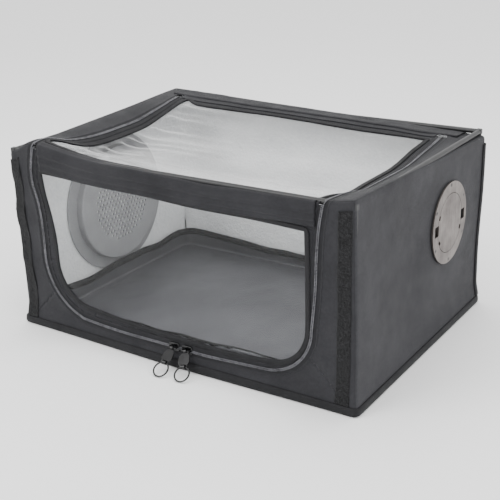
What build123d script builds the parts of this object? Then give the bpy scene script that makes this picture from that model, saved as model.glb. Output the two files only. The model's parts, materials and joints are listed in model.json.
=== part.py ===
"""Soft enclosure tent for a desktop machine: rod frame, zip-up L-shaped door, two wall ports.

Millimetres, +Z up, -Y is the front with the door, +X the wall with the metal port plate.
The origin is the centre of the base, on the surface that the tent stands on.
"""
from build123d import *
from math import asin, cos, degrees, hypot, radians, sin, sqrt
import os

# ---------------------------------------------------------------- driving dimensions
WIDTH = 600.0            # outer shell, X
DEPTH = 425.0            # outer shell, Y
HEIGHT = 295.0           # outer shell, Z
SKIN = 1.2               # laminated oxford cloth of the shell and the door
BINDING = 0.8            # bound edges, folded tape
BINDING_LEG = 9.0        # width of the corner binding on each face
REAR_BAND = (4.0, 32.0, 20.0)    # bound seam behind the top flap: from, to, past the zip
LINING = 0.8             # reflective lining
WINDOW = 0.4             # clear film

ROD_RADIUS = 4.0         # steel frame tube
ROD_WALL = 0.8
ROD_INSET = 6.2          # tube axis behind the outer faces
CORNER = 8.4             # side of a three-way corner block
CORNER_ROUND = 1.2
STUB = 22.0              # plug of the corner block inside each tube
STUB_GAP = 0.05          # between the plug and the tube
TUBE_GAP = 0.1           # between the block and each tube's end
LINING_INSET = 10.6      # outer face of the lining behind the outer faces
LINING_MARGIN = 12.0     # bare strip below and above the lining

DOOR_HALF = 246.0        # zip centre line, left and right of the middle
DOOR_BOTTOM = 30.0       # zip centre line above the base
DOOR_ROUND_LEFT = 118.0  # radius of the zip line at the lower left corner
DOOR_ROUND_RIGHT = 90.0
DOOR_TOP_GAP = 2.0       # the door's fold stops short of the top edge
SEAM_Y = 168.5           # fold line of the top flap
FOLD_GAP = 1.0           # the cloth stops short of each fold line

WINDOW_LEFT = -220.0     # front window, visible clear area
WINDOW_RIGHT = 227.0
WINDOW_BOTTOM = 48.5
WINDOW_TOP_LEFT = 259.0  # the header band is a little deeper on the right
WINDOW_TOP_RIGHT = 245.0
WINDOW_ROUND_LEFT = 84.0
WINDOW_ROUND_RIGHT = 60.0
WINDOW_LAP = 6.0         # film sewn behind the cloth all round
HEADER_INSET = 12.0      # header band's ends inside the zip's centre line
HEADER_GAP = 2.0         # header band above the window

TOP_WINDOW_HALF = 218.0
TOP_WINDOW_FRONT = -196.0
TOP_WINDOW_REAR = 148.0
TOP_WINDOW_ROUND = 12.0

ZIP_POST_GAP = 1.0       # half the gap between the two coils
ZIP_OUTER = 4.0          # far side of each coil from the centre line
ZIP_CUT = 4.2            # cut edge of the cloth from the centre line
ZIP_PROUD = 0.8          # coil outside the cloth's outer face
ZIP_THICK = 2.4
STOP = (4.0, 3.0, 1.6)   # end stop: X, Y, height

HEM = 13.0               # height of the bound hem round the base
STRIP = (20.0, 268.0, 1.2)       # hook-and-loop strips: width, length, thickness
STRIP_LEFT_X = -288.0
STRIP_RIGHT_X = 286.0
STRIP_Z = 14.0

TRAY = (570.0, 392.0, 38.0, 1.0)  # floor tray: X, Y, height, cloth
TRAY_BASE = 1.6
RIM = (12.0, 2.6)                 # tray binding: height, thickness
RIM_PROUD = 2.0                   # binding above the cloth's edge

PORT_Y, PORT_Z = 78.0, 181.0      # right wall port
PLATE_RADIUS = 62.5
BORE_RADIUS = 45.4
CAP_RADIUS = 44.7
PLATE_THICK = 2.0
GASKET = 1.8
COLLAR_RADII = (55.8, 60.4)
COLLAR_GAP = 0.3                  # between the collar and the cloth's cut edge
COLLAR_FLANGE = 2.0
SHELF = (41.6, 1.6, 5.0)          # collar's stop ring: bore, thickness, depth behind the plate
CAP_RIM = (35.0, 38.0, 41.0)      # cap's inner rim: bore, step, outside
CAP_RIM_DEPTH = 4.0
CAP_NOTCH = (6.0, 6.5)            # small notches in the cap's edge: radial, width
CAP_NOTCH_ANGLES = (-25.0, 155.0, -150.0)
LUG = (11.0, 2.0, 0.4)            # cap's lugs: width, thickness, gap behind the plate
LUG_REACH = 50.0
LUG_ANGLES = (-25.0, 155.0)
SLOT_ANGLES = (0.0, 180.0)        # slots that let the lugs in, cut in both the plate and the cap
SLOT_RADII = (41.6, 55.0)
SLOT_WIDTH = 16.0
PORT_SCREWS = 6
PORT_SCREW_RADIUS = 58.0
SCREW_SHANK = 1.5                 # radius
SCREW_HOLE = 1.6

FILTER_Y, FILTER_Z = 6.0, 146.0  # left wall filter port
FLANGE_RADIUS = 121.0
COVER_RADIUS = 100.0
COVER_PROUD = 12.6                # face of the raised cover above the flange
COVER_WALL = 2.4
FLANGE_THICK = 3.0
OUTER_COVER_THICK = 3.0
GRILLE_RADIUS = 67.5
GRILLE_PITCH = 8.9
GRILLE_HOLE = 2.6
SPIGOT_RADII = (70.0, 74.0)
FILTER_SCREW_RADIUS = 92.0
FILTER_SCREWS = 6

SLIDER = (19.0, 13.0)             # slider body along X and Z
SLIDER_ROUND = 3.5
SLIDER_X = {"left": 3.2, "right": 26.8}
BAIL_REACH = 4.0                  # bail axis outside the slider's outer plate
BAIL_RADIUS = 1.2
BAIL_WIDTH = 13.6
FOOT = (6.0, 0.8)                 # bail's feet: from the middle, half thickness
POST = (3.0, 1.5, 0.6)            # post between the coils: from the end, half X, half Z
PULL_LENGTH = 25.0                # bail axis to ring eye
PULL_THICK = 2.0
BAIL_EYE = (3.1, 2.25, 4.0)       # eye round the bail: radius, hole, width
RING_EYE = (3.3, 2.1, 7.0)
PULL_OUTLINE = ((4.0, 3.4), (8.0, 8.4), (9.0, 18.0), (6.5, 23.0))  # half width, below the bail
RING_RADIUS = 11.6
RING_WIRE = 1.25
PULL_TILT = {"left": 0.0, "right": -20.0}
FLOOR_GAP = 0.15                  # under the ring, which lies on the floor

# ---------------------------------------------------------------- derived dimensions
RIGHT, LEFT = WIDTH / 2, -WIDTH / 2
FRONT, REAR = -DEPTH / 2, DEPTH / 2
SLIDER_OUTER = FRONT - 3.8        # outer face of the slider's outer plate
SLIDER_GAPS = (FRONT - 1.4, FRONT + 2.2)
SLIDER_INNER = FRONT + 4.0
BAIL_Y = SLIDER_OUTER - BAIL_REACH

os.makedirs("parts", exist_ok=True)


# ---------------------------------------------------------------- helpers
def save(name, *solids):
    """Write one node; several separate solids make one group."""
    shape = solids[0] if len(solids) == 1 else Compound(children=list(solids))
    export_step(shape, f"parts/{name}.step")


def slab(x0, x1, y0, y1, z0, z1):
    return Pos((x0 + x1) / 2, (y0 + y1) / 2, (z0 + z1) / 2) * Box(x1 - x0, y1 - y0, z1 - z0)


def on_front(face, outer_y, thick):
    """Sketch in (x, z), outer face at outer_y, thickness towards the inside."""
    return extrude(Plane.XZ.offset(-(outer_y + thick)) * face, thick)


def on_top(face, outer_z, thick):
    return extrude(Plane.XY.offset(outer_z - thick) * face, thick)


def on_side(face, low_x, thick):
    """Sketch in (y, z), from low_x towards +X."""
    return extrude(Plane.YZ.offset(low_x) * face, thick)


def door_shape(grow, top=HEIGHT):
    """Front part of the door outline, grown by a distance from the zip's centre line."""
    x0, x1 = -DOOR_HALF - grow, DOOR_HALF + grow
    z0 = DOOR_BOTTOM - grow
    return rounded_bottom(x0, x1, z0, top, top, DOOR_ROUND_LEFT + grow, DOOR_ROUND_RIGHT + grow)


def rounded_bottom(x0, x1, z0, top_left, top_right, round_left, round_right):
    """A panel with straight sides and top, and two round lower corners."""
    edges = [
        Line((x0, top_left), (x0, z0 + round_left)),
        CenterArc((x0 + round_left, z0 + round_left), round_left, 180, 90),
        Line((x0 + round_left, z0), (x1 - round_right, z0)),
        CenterArc((x1 - round_right, z0 + round_right), round_right, 270, 90),
        Line((x1, z0 + round_right), (x1, top_right)),
        Line((x1, top_right), (x0, top_left)),
    ]
    return make_face(edges)


def front_window_shape(lap):
    return rounded_bottom(
        WINDOW_LEFT - lap, WINDOW_RIGHT + lap, WINDOW_BOTTOM - lap,
        WINDOW_TOP_LEFT + lap, WINDOW_TOP_RIGHT + lap,
        WINDOW_ROUND_LEFT + lap, WINDOW_ROUND_RIGHT + lap)


def top_window_shape(lap):
    middle = (TOP_WINDOW_FRONT + TOP_WINDOW_REAR) / 2
    length = TOP_WINDOW_REAR - TOP_WINDOW_FRONT + 2 * lap
    return Pos(0, middle) * RectangleRounded(2 * (TOP_WINDOW_HALF + lap), length, TOP_WINDOW_ROUND + lap)


def polar(radius, angle):
    return radius * cos(radians(angle)), radius * sin(radians(angle))


def disc(radius, hole=0.0):
    face = Circle(radius)
    return face - Circle(hole) if hole else face


def circle_of(count, start=0.0):
    return [start + 360 / count * index for index in range(count)]


def filter_cutouts():
    """Holes for the filter port in the left wall and its lining: the spigot and the screws."""
    screws = [Pos(*polar(FILTER_SCREW_RADIUS, angle)) * Circle(SCREW_HOLE + 0.1)
              for angle in circle_of(FILTER_SCREWS)]
    return Pos(FILTER_Y, FILTER_Z) * (Circle(SPIGOT_RADII[1] + 0.5) + screws)


# ---------------------------------------------------------------- shell, black laminated cloth
def build_shell():
    inner_right, inner_left = RIGHT - SKIN, LEFT + SKIN
    wall = Pos(0, HEIGHT / 2) * Rectangle(DEPTH, HEIGHT)
    port_hole = Pos(PORT_Y, PORT_Z) * Circle(COLLAR_RADII[1] + COLLAR_GAP)
    save("right_wall", on_side(wall - port_hole, inner_right, SKIN))
    save("left_wall", on_side(wall - filter_cutouts(), LEFT, SKIN))
    save("rear_wall", slab(inner_left, inner_right, REAR - SKIN, REAR, 0, HEIGHT))
    save("floor_panel", slab(inner_left, inner_right, FRONT + SKIN, REAR - SKIN, 0, SKIN))
    front = Pos(0, HEIGHT / 2) * Rectangle(WIDTH - 2 * SKIN, HEIGHT)
    save("front_panel", on_front(front - door_shape(ZIP_CUT), FRONT, SKIN))
    top = Rectangle(WIDTH - 2 * SKIN, DEPTH - 2 * SKIN)
    door_end = SEAM_Y + FOLD_GAP
    door_length = door_end - (FRONT + SKIN)
    door_cut = Pos(0, door_end - door_length / 2) * Rectangle(2 * (DOOR_HALF + ZIP_CUT), door_length)
    save("top_panel", on_top(top - door_cut, HEIGHT, SKIN))


def build_bindings():
    out = BINDING
    save("hem_binding",
         slab(LEFT - out, RIGHT + out, FRONT - out, FRONT, 0, HEM),
         slab(LEFT - out, RIGHT + out, REAR, REAR + out, 0, HEM),
         slab(LEFT - out, LEFT, FRONT, REAR, 0, HEM),
         slab(RIGHT, RIGHT + out, FRONT, REAR, 0, HEM))
    corners = []
    for sign in (-1, 1):
        edge = sign * RIGHT
        outer = slab(*sorted((edge, edge + sign * out)), REAR - BINDING_LEG, REAR + out, HEM, HEIGHT)
        back = slab(*sorted((edge - sign * BINDING_LEG, edge)), REAR, REAR + out, HEM, HEIGHT)
        corners.append(outer + back)
    save("corner_bindings", *corners)
    start, end, past = REAR_BAND
    save("rear_flap_binding",
         slab(-DOOR_HALF - past, DOOR_HALF + past, SEAM_Y + start, SEAM_Y + end, HEIGHT, HEIGHT + BINDING))
    width, length, thick = STRIP
    save("loop_strips",
         *[slab(x - width / 2, x + width / 2, FRONT - thick, FRONT, STRIP_Z, STRIP_Z + length)
           for x in (STRIP_LEFT_X, STRIP_RIGHT_X)])


# ---------------------------------------------------------------- rod frame inside the shell
def tube(length):
    return Cylinder(ROD_RADIUS, length) - Cylinder(ROD_RADIUS - ROD_WALL, length)


def build_frame():
    far_x, far_y = WIDTH / 2 - ROD_INSET, DEPTH / 2 - ROD_INSET
    heights = {"bottom": ROD_INSET, "top": HEIGHT - ROD_INSET}
    shorten = CORNER + 2 * TUBE_GAP
    for level, z in heights.items():
        for name, y in (("front", -far_y), ("rear", far_y)):
            rod = Pos(0, y, z) * Rot(0, 90, 0) * tube(2 * far_x - shorten)
            save(f"rod_{name}_{level}", rod)
        for name, x in (("left", -far_x), ("right", far_x)):
            rod = Pos(x, 0, z) * Rot(90, 0, 0) * tube(2 * far_y - shorten)
            save(f"rod_{name}_{level}", rod)
    plug = ROD_RADIUS - ROD_WALL - STUB_GAP
    for x_name, x in (("left", -far_x), ("right", far_x)):
        for y_name, y in (("front", -far_y), ("rear", far_y)):
            upright = tube(heights["top"] - heights["bottom"] - shorten)
            save(f"rod_{y_name}_{x_name}_upright", Pos(x, y, HEIGHT / 2) * upright)
            for level, z in heights.items():
                reach = CORNER / 2 + STUB / 2
                towards_x = -1 if x > 0 else 1
                towards_y = -1 if y > 0 else 1
                towards_z = 1 if level == "bottom" else -1
                block = fillet(Box(CORNER, CORNER, CORNER).edges(), CORNER_ROUND)
                block += Pos(towards_x * reach, 0, 0) * Rot(0, 90, 0) * Cylinder(plug, STUB)
                block += Pos(0, towards_y * reach, 0) * Rot(90, 0, 0) * Cylinder(plug, STUB)
                block += Pos(0, 0, towards_z * reach) * Cylinder(plug, STUB)
                save(f"corner_{y_name}_{x_name}_{level}", Pos(x, y, z) * block)


# ---------------------------------------------------------------- lining and floor tray
def build_lining():
    low, high = LINING_MARGIN, HEIGHT - LINING_MARGIN
    side = Pos(0, (low + high) / 2) * Rectangle(DEPTH - 2 * LINING_INSET - 2, high - low)
    right = side - Pos(PORT_Y, PORT_Z) * Circle(COLLAR_RADII[1] + COLLAR_GAP)
    left = side - filter_cutouts()
    save("right_lining", on_side(right, RIGHT - LINING_INSET - LINING, LINING))
    save("left_lining", on_side(left, LEFT + LINING_INSET, LINING))
    reach = WIDTH / 2 - LINING_INSET - LINING - 0.2
    save("rear_lining",
         slab(-reach, reach, REAR - LINING_INSET - LINING, REAR - LINING_INSET, low, high))


def build_tray():
    x, y, height, cloth = TRAY
    outer = slab(-x / 2, x / 2, -y / 2, y / 2, TRAY_BASE, TRAY_BASE + height)
    inner = slab(-x / 2 + cloth, x / 2 - cloth, -y / 2 + cloth, y / 2 - cloth,
                 TRAY_BASE + cloth, TRAY_BASE + height)
    save("floor_tray", outer - inner)
    tall, thick = RIM
    top = TRAY_BASE + height + RIM_PROUD
    bottom = top - tall
    in_x, in_y = x / 2 - cloth, y / 2 - cloth
    save("tray_rim_binding",
         slab(-in_x, in_x, -in_y, -in_y + thick, bottom, top),
         slab(-in_x, in_x, in_y - thick, in_y, bottom, top),
         slab(-in_x, -in_x + thick, -in_y + thick, in_y - thick, bottom, top),
         slab(in_x - thick, in_x, -in_y + thick, in_y - thick, bottom, top))


# ---------------------------------------------------------------- door: zip, flaps and windows
def zip_band(inner, outer, top):
    return door_shape(outer, top) - door_shape(inner, top)


def build_zip():
    fold = HEIGHT - DOOR_TOP_GAP
    outer_y = FRONT - ZIP_PROUD
    outer_z = HEIGHT + ZIP_PROUD
    start, end = FRONT + 6.0, SEAM_Y - 16.0
    middle, length = (start + end) / 2, end - start

    def top_coil(sign, near, far):
        x = sign * (DOOR_HALF + (near + far) / 2)
        return on_top(Pos(x, middle) * Rectangle(abs(far - near), length), outer_z, ZIP_THICK)

    save("zip_shell_side",
         on_front(zip_band(ZIP_POST_GAP, ZIP_OUTER, fold), outer_y, ZIP_THICK),
         top_coil(-1, ZIP_POST_GAP, ZIP_OUTER), top_coil(1, ZIP_POST_GAP, ZIP_OUTER))
    save("zip_front_flap_side",
         on_front(zip_band(-ZIP_OUTER, -ZIP_POST_GAP, fold), outer_y, ZIP_THICK))
    save("zip_top_flap_side",
         top_coil(-1, -ZIP_OUTER, -ZIP_POST_GAP), top_coil(1, -ZIP_OUTER, -ZIP_POST_GAP))
    stop_x, stop_y = DOOR_HALF + (ZIP_POST_GAP + ZIP_OUTER) / 2, end + STOP[1]
    stop = Pos(0, 0, HEIGHT + STOP[2] / 2) * Box(*STOP)
    save("zip_end_stops", Pos(-stop_x, stop_y) * stop, Pos(stop_x, stop_y) * stop)


def build_door():
    fold = HEIGHT - DOOR_TOP_GAP
    save("front_flap", on_front(door_shape(-ZIP_CUT, fold) - front_window_shape(0), FRONT, SKIN))
    save("front_window", on_front(front_window_shape(WINDOW_LAP), FRONT + SKIN, WINDOW))
    reach = DOOR_HALF - HEADER_INSET
    save("header_band",
         slab(-reach, reach, FRONT - BINDING, FRONT, WINDOW_TOP_LEFT + HEADER_GAP, fold))
    start, end = FRONT + SKIN + FOLD_GAP, SEAM_Y - FOLD_GAP
    top = Pos(0, (start + end) / 2) * Rectangle(2 * (DOOR_HALF - ZIP_CUT), end - start)
    save("top_flap", on_top(top - top_window_shape(0), HEIGHT, SKIN))
    save("top_window", on_top(top_window_shape(WINDOW_LAP), HEIGHT - SKIN, WINDOW))


# ---------------------------------------------------------------- zip sliders and their pulls
def slider_body(x, post_side):
    length, height = SLIDER
    plate = Pos(x, DOOR_BOTTOM) * RectangleRounded(length, height, SLIDER_ROUND)
    outer = on_front(plate, SLIDER_OUTER, SLIDER_GAPS[0] - SLIDER_OUTER)
    inner = on_front(plate, SLIDER_GAPS[1], SLIDER_INNER - SLIDER_GAPS[1])
    outer = fillet(outer.faces().sort_by(Axis.Y)[0].edges(), 0.9)
    from_end, half_x, half_z = POST
    post_x = x + post_side * (length / 2 - from_end)
    post = slab(post_x - half_x, post_x + half_x, SLIDER_GAPS[0] - 0.5, SLIDER_GAPS[1] + 0.5,
                DOOR_BOTTOM - half_z, DOOR_BOTTOM + half_z)
    bail = Pos(x, BAIL_Y, DOOR_BOTTOM) * Rot(0, 90, 0) * Cylinder(BAIL_RADIUS, BAIL_WIDTH)
    body = outer + inner + post + bail
    foot_x, half_foot = FOOT
    for middle in (x - foot_x, x + foot_x):
        body += slab(middle - half_foot, middle + half_foot, BAIL_Y, SLIDER_OUTER + 0.5,
                     DOOR_BOTTOM - BAIL_RADIUS, DOOR_BOTTOM + BAIL_RADIUS)
    return body


def lean_angle(tilt):
    """Angle of the pull from hanging straight down, with its ring lying on the floor."""
    along = (PULL_LENGTH + RING_RADIUS) * cos(radians(tilt)) + RING_RADIUS
    drop = DOOR_BOTTOM - RING_WIRE - FLOOR_GAP
    return 90.0 - degrees(asin(drop / along))


def place_pull(shape, x, tilt):
    """Hang a part modelled pointing down from the bail, lean it out and tilt it in its own plane."""
    return Pos(x, BAIL_Y, DOOR_BOTTOM) * Rot(-lean_angle(tilt), 0, 0) * Rot(0, tilt, 0) * shape


def pull_tab():
    across = Rot(0, 90, 0)
    right_side = [(half, -below) for half, below in PULL_OUTLINE]
    left_side = [(-half, -below) for half, below in reversed(PULL_OUTLINE)]
    outline = make_face(Polyline(*right_side, *left_side, close=True))
    tab = on_front(fillet(outline.vertices(), 0.8), -PULL_THICK / 2, PULL_THICK)
    for height, (radius, hole, width) in ((0, BAIL_EYE), (-PULL_LENGTH, RING_EYE)):
        tab += Pos(0, 0, height) * across * Cylinder(radius, width)
        tab -= Pos(0, 0, height) * across * Cylinder(hole, 30.0)
    return tab


def pull_ring():
    return Pos(0, 0, -PULL_LENGTH - RING_RADIUS) * Rot(90, 0, 0) * Torus(RING_RADIUS, RING_WIRE)


def build_sliders():
    for side, x in SLIDER_X.items():
        towards_other = 1 if side == "left" else -1
        tilt = PULL_TILT[side]
        save(f"slider_{side}", slider_body(x, towards_other))
        save(f"pull_tab_{side}", place_pull(pull_tab(), x, tilt))
        save(f"pull_ring_{side}", place_pull(pull_ring(), x, tilt))


# ---------------------------------------------------------------- right wall port with twist cap
def port(face, low_x, thick):
    return on_side(Pos(PORT_Y, PORT_Z) * face, low_x, thick)


def build_port():
    plate_x = RIGHT + GASKET
    screw_spots = [polar(PORT_SCREW_RADIUS, angle) for angle in circle_of(PORT_SCREWS, 30.0)]
    holes = [Pos(*spot) * Circle(SCREW_HOLE) for spot in screw_spots]
    plate_face = disc(PLATE_RADIUS, BORE_RADIUS)
    slot_middle = (SLOT_RADII[0] + SLOT_RADII[1]) / 2
    slot = Pos(slot_middle, 0) * Rectangle(SLOT_RADII[1] - SLOT_RADII[0], SLOT_WIDTH)
    for angle in SLOT_ANGLES:
        plate_face -= Rot(0, 0, angle) * slot
    plate = port(plate_face - holes, plate_x, PLATE_THICK)
    for y, z in screw_spots:
        sink = Rot(0, 90, 0) * Cone(SCREW_HOLE, 2 * SCREW_SHANK, 1.4)
        plate -= Pos(plate_x + PLATE_THICK - 0.7, PORT_Y + y, PORT_Z + z) * sink
    save("vent_ring_plate", plate)
    save("vent_gasket", port(disc(PLATE_RADIUS - 0.5, COLLAR_RADII[1]), RIGHT, GASKET))

    inner_end = RIGHT - LINING_INSET - LINING - 2.0
    collar = port(disc(COLLAR_RADII[1], COLLAR_RADII[0]), inner_end, plate_x - inner_end)
    collar += port(disc(PLATE_RADIUS, COLLAR_RADII[0]), inner_end, COLLAR_FLANGE)
    shelf_bore, shelf_thick, shelf_depth = SHELF
    collar += port(disc(COLLAR_RADII[0] + 0.5, shelf_bore), plate_x - shelf_depth, shelf_thick)
    for y, z in screw_spots:
        collar -= Pos(plate_x - 5.0, PORT_Y + y, PORT_Z + z) * Rot(0, 90, 0) * Cylinder(SCREW_HOLE, 12.0)
    save("vent_collar", collar)

    screws = []
    for y, z in screw_spots:
        head = Pos(plate_x + PLATE_THICK - 0.65, 0, 0) * Rot(0, 90, 0) * Cone(SCREW_SHANK, 2.8, 1.3)
        shank = Pos(plate_x + PLATE_THICK - 6.0, 0, 0) * Rot(0, 90, 0) * Cylinder(SCREW_SHANK, 10.0)
        recess = Pos(plate_x + PLATE_THICK, 0, 0) * Box(1.0, 3.4, 0.7)
        screws.append(Pos(0, PORT_Y + y, PORT_Z + z) * (head + shank - recess))
    save("vent_screws", *screws)

    cap = port(disc(CAP_RADIUS), plate_x, PLATE_THICK)
    for angle in CAP_NOTCH_ANGLES:
        notch = Rot(0, 0, angle) * Pos(CAP_RADIUS - 1.5, 0) * Rectangle(*CAP_NOTCH)
        cap -= port(notch, plate_x, PLATE_THICK)
    for angle in SLOT_ANGLES:
        cap -= port(Rot(0, 0, angle) * slot, plate_x, PLATE_THICK)
    bore, rim_step, outside = CAP_RIM
    cap += port(disc(outside, bore), plate_x - CAP_RIM_DEPTH, CAP_RIM_DEPTH)
    lug_width, lug_thick, lug_gap = LUG
    for angle in LUG_ANGLES:
        lug = Pos((rim_step + LUG_REACH) / 2, 0) * Rectangle(LUG_REACH - rim_step, lug_width)
        cap += port(Rot(0, 0, angle) * lug, plate_x - lug_thick - lug_gap, lug_thick)
    cap += port(disc(outside, rim_step), plate_x - lug_thick - lug_gap, lug_thick + lug_gap)
    save("vent_cap", cap)


# ---------------------------------------------------------------- left wall filter port
def left_port(face, low_x, thick):
    return on_side(Pos(FILTER_Y, FILTER_Z) * face, low_x, thick)


def grille_holes():
    """Staggered rows of round holes inside the grille's circle."""
    row_step = GRILLE_PITCH * sqrt(3) / 2
    rows = int(GRILLE_RADIUS / row_step) + 1
    spots = []
    for row in range(-rows, rows + 1):
        shift = GRILLE_PITCH / 2 if row % 2 else 0.0
        for column in range(-rows, rows + 1):
            spot = (column * GRILLE_PITCH + shift, row * row_step)
            if hypot(*spot) < GRILLE_RADIUS - GRILLE_HOLE:
                spots.append(spot)
    return [Pos(*spot) * Circle(GRILLE_HOLE) for spot in spots]


def widest_edges(solid):
    """The two widest round edges, in order along X."""
    return solid.edges().filter_by(GeomType.CIRCLE).sort_by(SortBy.RADIUS)[-2:].sort_by(Axis.X)


def build_filter():
    lining_face = LEFT + LINING_INSET + LINING
    flange_face = lining_face + FLANGE_THICK
    screw_spots = [polar(FILTER_SCREW_RADIUS, angle) for angle in circle_of(FILTER_SCREWS)]
    holes = [Pos(*spot) * Circle(SCREW_HOLE) for spot in screw_spots]
    flange = left_port(disc(FLANGE_RADIUS, SPIGOT_RADII[0]) - holes, lining_face, FLANGE_THICK)
    flange = fillet(widest_edges(flange)[-1], 1.0)
    flange += left_port(disc(*reversed(SPIGOT_RADII)), LEFT, lining_face - LEFT)
    save("filter_flange", flange)

    face_x = flange_face + COVER_PROUD
    cover = left_port(disc(COVER_RADIUS), flange_face, COVER_PROUD)
    cover = fillet(cover.edges().sort_by(Axis.X)[-1], 2.5)
    cover -= left_port(disc(COVER_RADIUS - COVER_WALL), flange_face, COVER_PROUD - COVER_WALL)
    cover -= left_port(Sketch() + grille_holes(), face_x - 3.0, 4.0)
    save("filter_cover", cover)
    save("filter_pad", left_port(disc(COVER_RADIUS - 5.0), flange_face + 2.2, COVER_PROUD - 5.0))

    outer = left_port(disc(COVER_RADIUS) - holes, LEFT - OUTER_COVER_THICK, OUTER_COVER_THICK)
    outer = fillet(widest_edges(outer)[0], 1.0)
    outer -= left_port(Sketch() + grille_holes(), LEFT - OUTER_COVER_THICK - 1.0, OUTER_COVER_THICK + 2.0)
    save("filter_outer_cover", outer)
    screws = []
    for y, z in screw_spots:
        head = Pos(LEFT - 3.9, 0, 0) * Rot(0, 90, 0) * Cylinder(3.0, 1.8)
        head = fillet(head.edges().sort_by(Axis.X)[0], 0.6)
        shank = Pos(LEFT + 4.2, 0, 0) * Rot(0, 90, 0) * Cylinder(SCREW_SHANK, 14.4)
        recess = Pos(LEFT - 4.8, 0, 0) * Box(1.4, 3.6, 0.8)
        screws.append(Pos(0, FILTER_Y + y, FILTER_Z + z) * (head + shank - recess))
    save("filter_screws", *screws)


build_shell()
build_bindings()
build_frame()
build_lining()
build_tray()
build_zip()
build_door()
build_sliders()
build_port()
build_filter()
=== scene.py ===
"""Looks of the soft enclosure tent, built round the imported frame. Metres, the frame's own axes."""
import json
import math
import bpy
import numpy as np
from mathutils import Matrix, Vector
from mathutils.geometry import delaunay_2d_cdt


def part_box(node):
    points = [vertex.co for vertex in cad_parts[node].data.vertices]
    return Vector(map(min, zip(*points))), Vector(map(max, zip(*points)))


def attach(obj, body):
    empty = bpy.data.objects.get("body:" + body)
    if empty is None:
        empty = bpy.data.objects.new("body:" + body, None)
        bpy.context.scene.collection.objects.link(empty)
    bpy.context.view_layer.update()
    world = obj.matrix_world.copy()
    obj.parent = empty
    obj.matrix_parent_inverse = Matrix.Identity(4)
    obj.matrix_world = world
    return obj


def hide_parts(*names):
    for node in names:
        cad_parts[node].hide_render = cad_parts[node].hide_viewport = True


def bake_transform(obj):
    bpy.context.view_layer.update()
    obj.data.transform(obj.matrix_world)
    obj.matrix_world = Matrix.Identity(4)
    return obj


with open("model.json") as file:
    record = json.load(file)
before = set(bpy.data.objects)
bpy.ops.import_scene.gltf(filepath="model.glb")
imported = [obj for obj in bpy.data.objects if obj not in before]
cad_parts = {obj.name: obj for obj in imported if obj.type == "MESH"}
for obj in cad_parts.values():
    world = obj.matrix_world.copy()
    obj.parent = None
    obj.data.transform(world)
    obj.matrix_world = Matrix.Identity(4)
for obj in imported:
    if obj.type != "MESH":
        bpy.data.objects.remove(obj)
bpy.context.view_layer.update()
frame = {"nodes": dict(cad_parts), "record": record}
MM = 0.001

# ---------------------------------------------------------------- the frame's main faces
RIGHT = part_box("right_wall")[1].x
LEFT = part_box("left_wall")[0].x
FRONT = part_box("front_panel")[0].y
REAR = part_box("rear_wall")[1].y
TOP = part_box("top_panel")[1].z
HALF = np.array([RIGHT, REAR, TOP / 2])
CENTRE = np.array([0, 0, TOP / 2])
SEAM_T = 0.1685 - FRONT         # fold line of the top flap, along the unfolded door
EDGE = 8 * MM                   # rounding of the cloth over the frame's edges
EDGE_POWER = 3.0
SKIN = 1.2 * MM                 # thickness of the lined cloth


# ---------------------------------------------------------------- camera
def make_camera():
    """Stands where the front, the top and the right wall show, a little above the tent."""
    azimuth, elevation, roll = math.radians(34.092), math.radians(21.089), math.radians(-2.009)
    distance, aside, up = 1.5471, -0.0010, -0.0371
    back = Vector((math.sin(azimuth) * math.cos(elevation), -math.cos(azimuth) * math.cos(elevation),
                   math.sin(elevation)))
    across = Vector((0, 0, 1)).cross(back).normalized()
    upward = back.cross(across)
    x_axis = math.cos(roll) * across + math.sin(roll) * upward
    y_axis = -math.sin(roll) * across + math.cos(roll) * upward
    data = bpy.data.cameras.new("camera")
    data.sensor_width = 36.0
    data.lens = 69.785
    camera = bpy.data.objects.new("camera", data)
    bpy.context.scene.collection.objects.link(camera)
    place = Vector((0, 0, TOP / 2)) + back * distance + x_axis * aside + y_axis * up
    camera.matrix_world = Matrix((
        (x_axis.x, y_axis.x, back.x, place.x),
        (x_axis.y, y_axis.y, back.y, place.y),
        (x_axis.z, y_axis.z, back.z, place.z),
        (0, 0, 0, 1)))
    bpy.context.scene.camera = camera


make_camera()


# ---------------------------------------------------------------- smooth noise and steps
def noise(points, size, seed=0):
    """Smooth noise from -1 to 1, with bumps about size across, the same on every run."""
    p = np.asarray(points, float) / size + 17.3 * seed
    cell = np.floor(p).astype(np.int64)
    part = p - cell
    part = part * part * (3 - 2 * part)
    total = np.zeros(len(p))
    for corner in range(8):
        step = np.array([corner & 1, (corner >> 1) & 1, corner >> 2])
        q = cell + step
        mixed = (q[:, 0] * 73856093) ^ (q[:, 1] * 19349663) ^ (q[:, 2] * 83492791) ^ (seed * 2654435)
        mixed = (mixed ^ (mixed >> 13)) * 1274126177
        value = ((mixed ^ (mixed >> 16)) & 0xFFFF) / 32767.5 - 1
        weight = np.prod(np.where(step == 1, part, 1 - part), axis=1)
        total += value * weight
    return total


def step(value, low, high):
    t = np.clip((value - low) / (high - low), 0, 1)
    return t * t * (3 - 2 * t)


def bump(value, middle, width):
    return np.exp(-((value - middle) / width) ** 2)


# ---------------------------------------------------------------- soft shape of the tent
HANG = 28 * MM                  # how far the top cloth hangs between the rods
BULGE = 16 * MM                 # stiff zip tape stands up where it bends over the front left corner
HEM_FLARE = 3.5 * MM            # the hem stands out all round, more along the front
FRONT_FLARE = 6 * MM
PORT_RADIUS = (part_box("vent_ring_plate")[1].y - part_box("vent_ring_plate")[0].y) / 2
FILTER_RADIUS = (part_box("filter_outer_cover")[1].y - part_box("filter_outer_cover")[0].y) / 2
PORT_YZ = np.array(((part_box("vent_ring_plate")[0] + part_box("vent_ring_plate")[1]) / 2)[1:])
FILTER_YZ = np.array(((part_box("filter_flange")[0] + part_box("filter_flange")[1]) / 2)[1:])


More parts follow.
